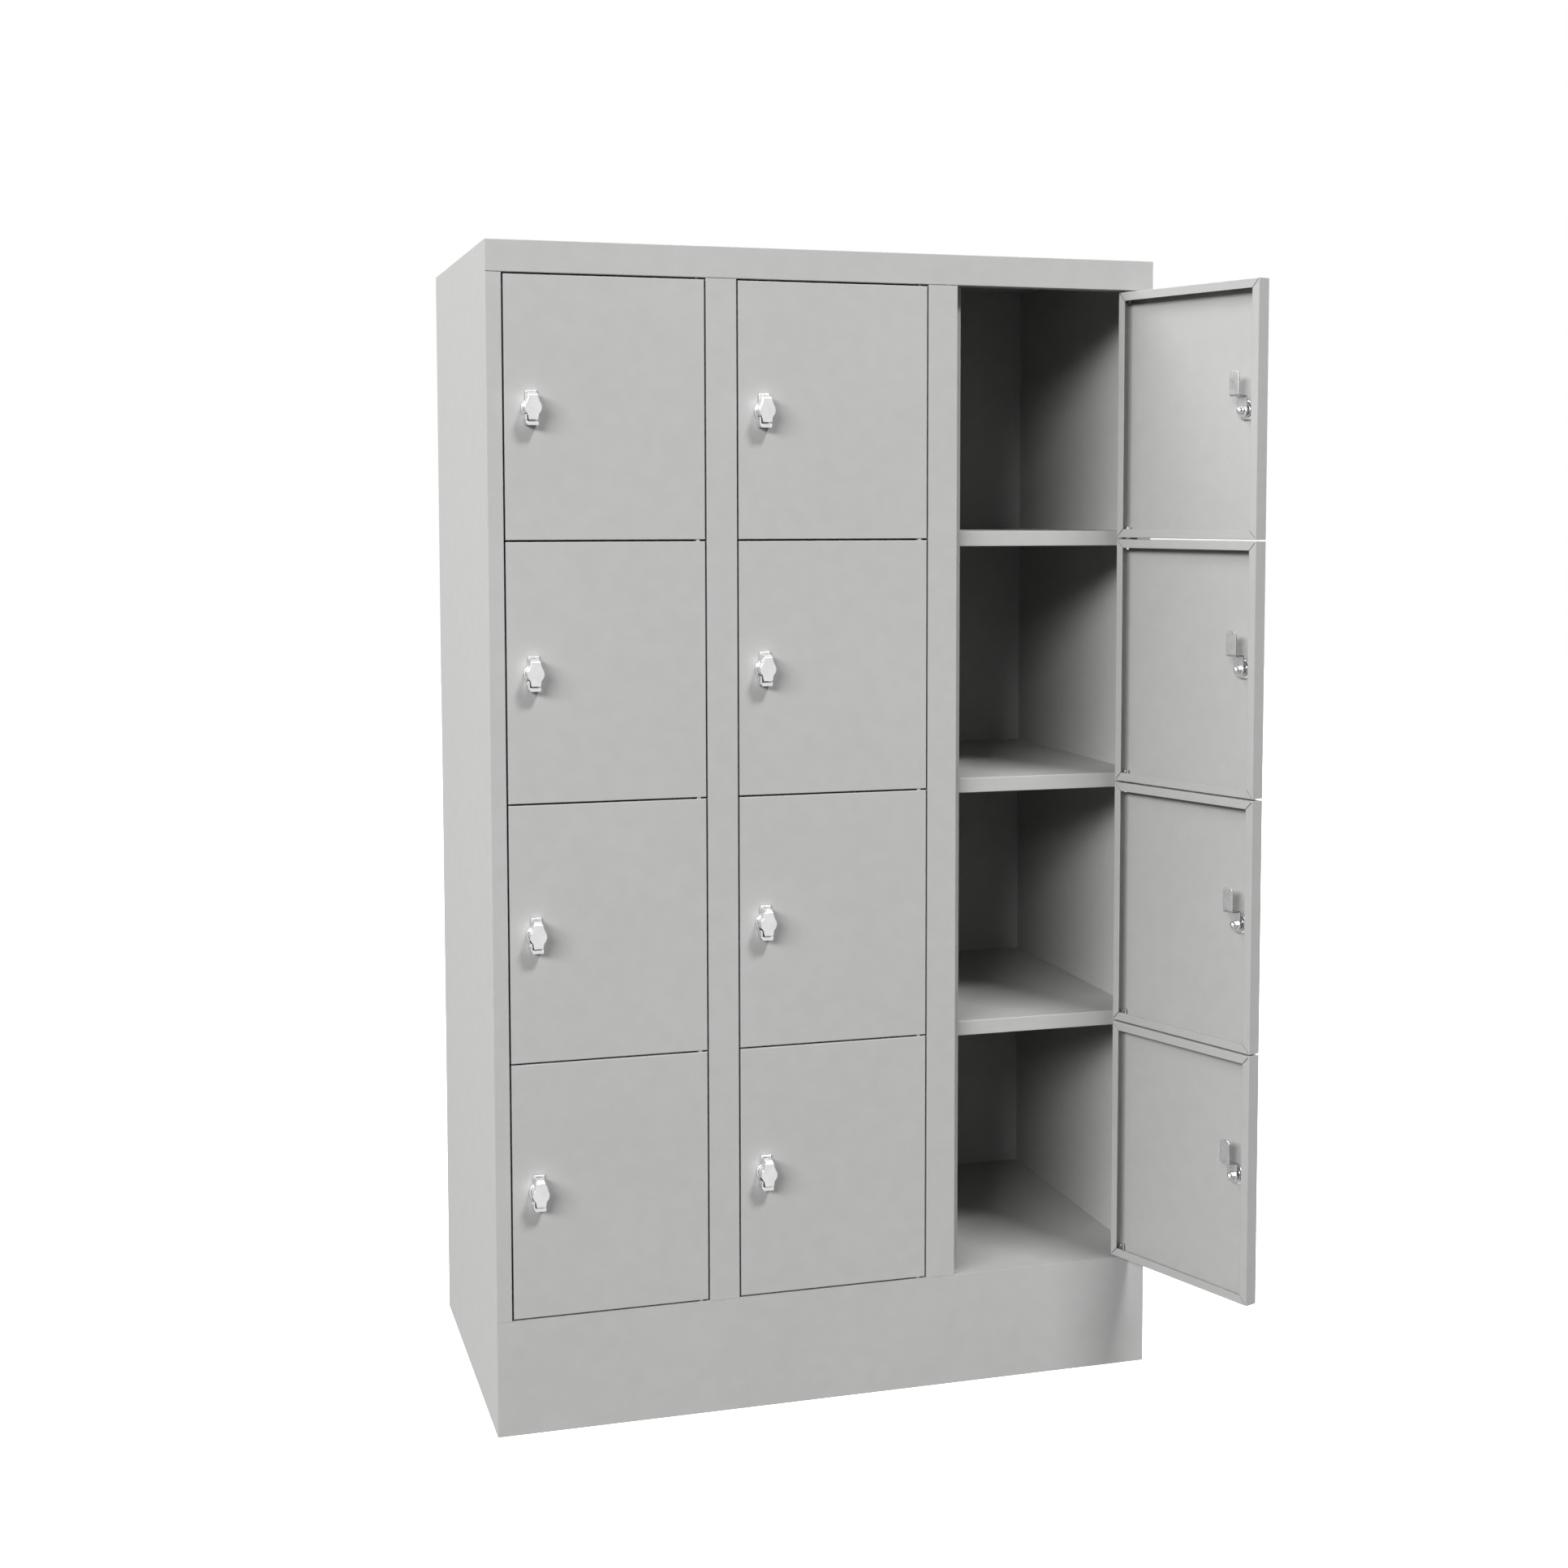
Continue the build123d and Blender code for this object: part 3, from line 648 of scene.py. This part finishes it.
def clamp_nut():
    """The hexagon nut: a pierced plate whose corners are turned off at 30 degrees."""
    angle = np.linspace(0.0, FULL_TURN, NUT_POINTS, endpoint=False)
    outline = around(hexagon(angle, NUT_FLATS) - NUT_INSET, angle)

    def fall(x, z):
        return np.maximum(np.hypot(x, z) - NUT_ROUND, 0.0) * math.tan(math.radians(30))

    rings = pierced(outline, (0.0, 0.0), BARREL - NUT_BORE_LAP, lambda x, z: NUT_NEAR + fall(x, z),
                    lambda x, z: NUT_FAR - fall(x, z), NUT_RIM, NUT_SPOKES)
    return skin(rings[..., [0, 2, 1]], closed=True)


def cam_path():
    """The middle of the cam's section as (Y, Z): up the hub and the arm, round a quarter bend
    out, round a quarter bend back up, and up the tongue to its tip."""
    near, far = CAM_NEAR + CAM_THICK / 2, TONGUE_NEAR + CAM_THICK / 2
    arc = np.linspace(0.0, QUARTER_TURN, 8)
    out, rise = CAM_BEND * (1 - np.cos(arc)), CAM_BEND * np.sin(arc)
    last, end = (TONGUE_TIP - gap for gap in CAM_TIP_RINGS)
    hub = -CAM_HUB * np.cos(np.linspace(CAM_HUB_START, QUARTER_TURN, 18))
    arm = np.linspace(CAM_ARM_START, CAM_STEP - CAM_BEND - CAM_BEND_GAP, 9)
    flat = np.linspace(CAM_STEP + CAM_BEND + CAM_BEND_GAP, TONGUE_TIP - TIP_CHAMFER, 14)
    tip = np.linspace(TONGUE_TIP - TIP_CHAMFER + CAM_TIP_START, last, 8)
    tongue = np.concatenate([flat, tip, [end, TONGUE_TIP]])
    y = np.concatenate([np.full(len(hub) + len(arm), near), near + out,
                        far - CAM_BEND + rise, np.full(len(tongue), far)])
    z = np.concatenate([hub, arm, CAM_STEP - CAM_BEND + rise, CAM_STEP + out, tongue])
    return np.stack([y, z], axis=-1)


def cam():
    """The cranked cam: a rounded flat section carried along its path. Its half width is the hub's
    circle, then the bar, then the tip's 45 degree corners, and it thins a little at both ends."""
    path = cam_path()
    height = path[:, 1]
    disc = np.sqrt(np.maximum(CAM_HUB ** 2 - np.minimum(height, CAM_HUB) ** 2, 0.0))
    hub_width = np.where(height < 0, disc, np.maximum(disc, TONGUE_HALF))
    tip_width = TONGUE_HALF + TONGUE_TIP - TIP_CHAMFER - height
    width = np.maximum(np.minimum(hub_width, tip_width), CAM_EDGE + 0.01)[:, None]
    step = np.gradient(path, axis=0)
    step /= np.linalg.norm(step, axis=1, keepdims=True)
    normal = np.stack([-step[:, 1], step[:, 0]], axis=-1)

    half = CAM_THICK / 2
    corner = np.linspace(0.0, QUARTER_TURN, 4)
    share = np.concatenate([[0.0, CAM_FLAT_SHARE], np.ones(len(corner))])
    side = np.concatenate([[0.0, 0.0], CAM_EDGE * (np.sin(corner) - 1.0)])
    face = np.concatenate([[half, half], half - CAM_EDGE * (1.0 - np.cos(corner))])
    loop_share = np.concatenate([share, share[::-1], -share[1:], -share[::-1][:-1]])
    loop_side = np.concatenate([side, side[::-1], -side[1:], -side[::-1][:-1]])
    loop_face = np.concatenate([face, -face[::-1], -face[1:], face[::-1][:-1]])

    from_ends = np.minimum((height + CAM_HUB) / CAM_HUB_FADE, (TONGUE_TIP - height) / CAM_TIP_FADE)
    off = loop_face * np.clip(from_ends, CAM_END_THICKNESS, 1.0)[:, None]
    x = width * loop_share + loop_side
    y = path[:, :1] + normal[:, :1] * off
    z = path[:, 1:] + normal[:, 1:] * off
    return skin(np.stack([x, y, z], axis=-1))


def cap_nut():
    """The domed nut on the cam: a hexagon with its corners turned off, then a half ball."""
    seat = CAM_NEAR + CAM_THICK
    shoulder = seat + CAP_HEIGHT
    climb = np.linspace(CAP_TIP_CLIMB, 1.0, CAP_DOME_RINGS)[::-1]
    side = np.linspace(seat + CAP_SIDE_START, shoulder - CAP_SIDE_END, CAP_SIDE_RINGS)
    dome_depths = shoulder + CAP_NECK + CAP_DOME * np.sqrt(1 - climb ** 2)
    depths = np.concatenate([seat + np.array(CAP_SEAT_RINGS), side,
                             shoulder + np.array(CAP_SHOULDER_RINGS), dome_depths])

    def radius_at(depth, angle):
        low_cone, high_cone = seat + CAP_LOW_CONE - depth, depth - shoulder + CAP_HIGH_CONE
        cone = CAP_ROUND - CAP_SLOPE * np.maximum(np.maximum(low_cone, high_cone), 0.0)
        flats = np.minimum(hexagon(angle, CAP_FLATS), cone)
        beyond = np.maximum(depth - shoulder, 0.0)
        dome = np.sqrt(np.maximum(CAP_DOME ** 2 - beyond ** 2, 0.0))
        return np.where(depth > shoulder + CAP_NECK / 2, np.maximum(dome, CAP_TIP_RADIUS), flats)

    return skin(turned(radius_at, depths, CAP_POINTS))


# ------------------------------------------------------------------ pieces on the doors

SHARP_ANGLE = math.radians(32)
UP = np.array([0.0, 0.0, 1.0])


def make_piece(name, shells, place, material, body, slot, *stands_for):
    """Joins closed shells into one mesh, puts it where place() says, and lets it ride on a body."""
    points, quads, triangles, start = [], [], [], 0
    for shell_points, shell_quads, shell_triangles in shells:
        points.append(shell_points)
        quads.append(shell_quads + start)
        triangles.append(shell_triangles + start)
        start += len(shell_points)
    mesh = bpy.data.meshes.new(name)
    faces = np.vstack(quads).tolist() + np.vstack(triangles).tolist()
    mesh.from_pydata(place(np.vstack(points)), [], faces)
    mesh.validate()
    mesh.polygons.foreach_set("use_smooth", np.ones(len(mesh.polygons), bool))
    mesh.set_sharp_from_angle(angle=SHARP_ANGLE)
    mesh.materials.append(material)
    piece = bpy.data.objects.new(name, mesh)
    bpy.context.scene.collection.objects.link(piece)
    weighted = piece.modifiers.new("even_shading", "WEIGHTED_NORMAL")
    weighted.keep_sharp = True
    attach(piece, body)
    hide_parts(*stands_for)


grip_shells = [grip_cap(), grip_body(), spindle()]
base_shells = [base_plate(), base_lug(), base_foot(), barrel(), clamp_nut()]
cam_shells = [cam(), cap_nut()]

for joint in frame["joints"]:
    if not joint["name"].startswith("latch_"):
        continue
    spot = joint["name"].split("_")[1]
    inward = np.array(joint["axis"], float)
    inward /= np.linalg.norm(inward)
    axes = np.array([[inward[1], -inward[0], 0.0], inward, UP])
    origin = np.array(joint["pos_m"], float)

    def place(points, axes=axes, origin=origin):
        return origin + MM * (points @ axes)

    make_piece("latch_grip_" + spot, grip_shells, place, satin_chrome, joint["child"],
               "latch_chrome", "latch_handle_" + spot)
    make_piece("latch_mount_" + spot, base_shells, place, satin_chrome, joint["parent"],
               "latch_chrome", "latch_base_" + spot)
    make_piece("cam_lever_" + spot, cam_shells, place, zinc_plate, joint["child"],
               "zinc_steel", "latch_cam_" + spot)

# ------------------------------------------------------------------ floor

FLOOR_REACH, FLOOR_CELLS = 12.0, 6
FLOOR_GLOW, FLOOR_CLOUDS, FLOOR_TONES = 0.85, 0.8, (0.86, 0.90)


def studio_floor():
    """A wide pale floor: a flat sheet of square cells, slightly self-lit to stay near white."""
    line = FLOOR_CELLS + 1
    reach = np.linspace(-FLOOR_REACH, FLOOR_REACH, line)
    x, y = np.meshgrid(reach, reach)
    points = np.stack([x, y, np.zeros_like(x)], axis=-1).reshape(-1, 3)
    row, column = np.meshgrid(np.arange(FLOOR_CELLS), np.arange(FLOOR_CELLS), indexing="ij")
    first = (row * line + column).ravel()
    faces = np.stack([first, first + 1, first + line + 1, first + line], axis=-1)
    mesh = bpy.data.meshes.new("studio_floor")
    mesh.from_pydata(points, [], faces.tolist())
    finish = Finish("pale_floor")
    clouds = finish.noise(FLOOR_CLOUDS, 2.0)
    material = finish.set(colour=finish.mix(clouds, *map(grey, FLOOR_TONES)),
                          roughness=finish.remap(clouds, NOISE_SPAN, (0.8, 0.9)))
    finish.shader.inputs["Emission Color"].default_value = (1.0, 1.0, 1.0, 1.0)
    finish.shader.inputs["Emission Strength"].default_value = FLOOR_GLOW
    mesh.materials.append(material)
    floor = bpy.data.objects.new("studio_floor", mesh)
    bpy.context.scene.collection.objects.link(floor)
    floor.visible_diffuse = False
    floor.visible_glossy = False


studio_floor()
